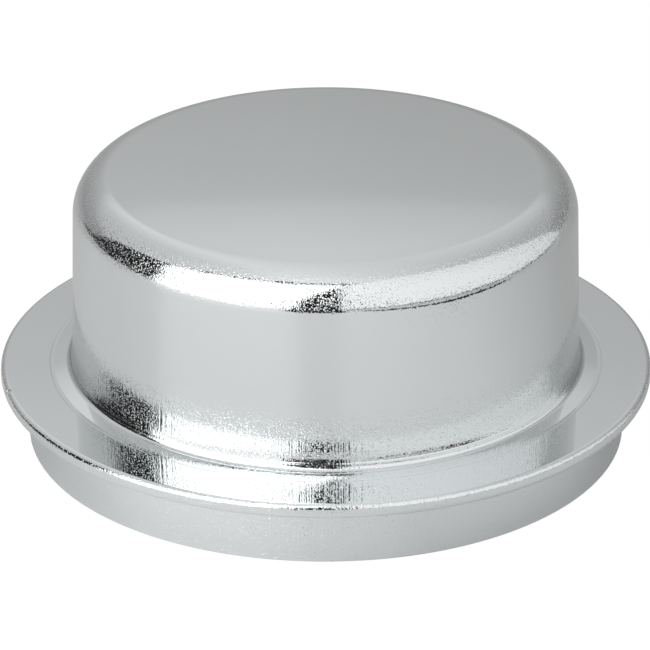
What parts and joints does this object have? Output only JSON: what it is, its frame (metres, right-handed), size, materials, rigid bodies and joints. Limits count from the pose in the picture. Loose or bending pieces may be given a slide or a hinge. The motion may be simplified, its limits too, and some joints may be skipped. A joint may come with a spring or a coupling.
{
  "type": "hub grease cap",
  "caption": "Drawn sheet-steel dome with a flat hemmed flange and a short press-in skirt; closes the end of a wheel hub and holds the bearing grease in.",
  "frame": {"origin": "middle of the skirt's open end, where the cap rests", "axes": "+Z along the dome's axis, from the open end to the top face; X and Y are alike, because the cap is round"},
  "size_m": [0.07, 0.07, 0.0301],
  "materials": {
    "zinc_plated_sheet": "bright zinc plate over drawn steel, with fine upright draw lines"
  },
  "bodies": {
    "root": {"grease_cap": "zinc_plated_sheet"}
  },
  "joints": []
}
